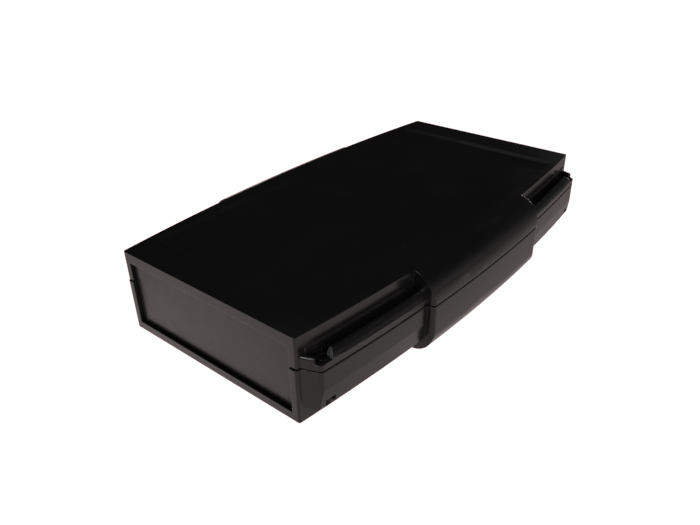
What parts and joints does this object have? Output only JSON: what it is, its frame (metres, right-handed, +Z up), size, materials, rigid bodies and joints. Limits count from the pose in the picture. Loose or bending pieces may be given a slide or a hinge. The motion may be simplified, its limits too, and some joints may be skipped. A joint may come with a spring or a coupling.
{
  "type": "battery box",
  "caption": "Flat rectangular battery box in two bowed shells with a rounded hand grip on each side, end panels in slots, output sockets, a rocker switch and a panel fuse.",
  "frame": {"origin": "centre of the underside of the lower shell", "axes": "+Y along the length towards the panel with the sockets, +X to the right seen from the blank end panel, +Z up"},
  "size_m": [0.1474, 0.2411, 0.042],
  "materials": {
    "shell_black": "moulded, semi-gloss",
    "panel_black": "moulded sheet, satin",
    "screw_steel": "zinc plated",
    "screw_black": "black oxide",
    "cell_can": "bright can",
    "sleeve_blue": "shrink film",
    "holder_black": "moulded",
    "nickel": "rolled nickel",
    "insulator_tan": "insulating sheet",
    "foam_grey": "closed-cell foam",
    "board_green": "solder mask",
    "chip_black": "moulded epoxy",
    "resistor_grey": "ceramic",
    "connector_white": "moulded nylon",
    "socket_red": "moulded",
    "socket_black": "moulded",
    "contact_brass": "plated",
    "nut_plated": "nickel plated",
    "fitting_black": "moulded",
    "fitting_gloss": "moulded",
    "fuse_glass": "clear",
    "fuse_metal": "nickel plated",
    "lead_black": "soft insulation",
    "lead_red": "soft insulation",
    "lead_yellow": "soft insulation",
    "lead_white": "soft insulation"
  },
  "bodies": {
    "case": {"lower_shell": "shell_black", "front_panel": "panel_black", "rear_panel": "panel_black", "case_screws": "screw_black", "cell_1": "cell_can", "cell_2": "cell_can", "cell_3": "cell_can", "cell_4": "cell_can", "cell_5": "cell_can", "cell_6": "cell_can", "cell_sleeve_1": "sleeve_blue", "cell_sleeve_2": "sleeve_blue", "cell_sleeve_3": "sleeve_blue", "cell_sleeve_4": "sleeve_blue", "cell_sleeve_5": "sleeve_blue", "cell_sleeve_6": "sleeve_blue", "cell_holder_1": "holder_black", "cell_holder_2": "holder_black", "cell_holder_3": "holder_black", "cell_holder_4": "holder_black", "negative_strip": "nickel", "series_strip": "nickel", "positive_strip": "nickel", "front_insulator": "insulator_tan", "rear_insulator": "insulator_tan", "bottom_foam": "foam_grey", "top_foam": "foam_grey", "board": "board_green", "board_screws": "screw_steel", "mosfets": "chip_black", "board_chips": "chip_black", "shunt_resistors": "resistor_grey", "sense_header": "connector_white", "sense_plug": "connector_white", "socket_red": "socket_red", "socket_black": "socket_black", "contact_red": "contact_brass", "contact_black": "contact_brass", "socket_nuts": "nut_plated", "switch_housing": "fitting_black", "switch_terminals": "contact_brass", "fuse_holder": "fitting_black", "fuse_holder_nut": "fitting_black", "fuse_contacts": "contact_brass", "lead_battery_negative": "lead_black", "lead_battery_positive": "lead_red", "lead_fuse_to_switch": "lead_red", "lead_switch_to_socket": "lead_red", "lead_board_to_socket": "lead_black", "lead_sense_mid": "lead_yellow", "lead_sense_top": "lead_white"},
    "lid": {"upper_shell": "shell_black"},
    "rocker": {"switch_rocker": "fitting_gloss"},
    "fuse_carrier": {"fuse_cap": "fitting_gloss", "fuse_glass": "fuse_glass", "fuse_ends": "fuse_metal"}
  },
  "joints": [
    {"name": "lid_lift", "type": "slide", "parent": "case", "child": "lid", "axis": [0, 0, 1], "range_m": [0, 0.06]},
    {"name": "rocker_tip", "type": "hinge", "parent": "case", "child": "rocker", "pos_m": [-0.036, 0.1157, 0.0205], "axis": [0, 0, -1], "range_deg": [0, 14]},
    {"name": "fuse_pull", "type": "slide", "parent": "case", "child": "fuse_carrier", "axis": [0, 1, 0], "range_m": [0, 0.03]}
  ]
}
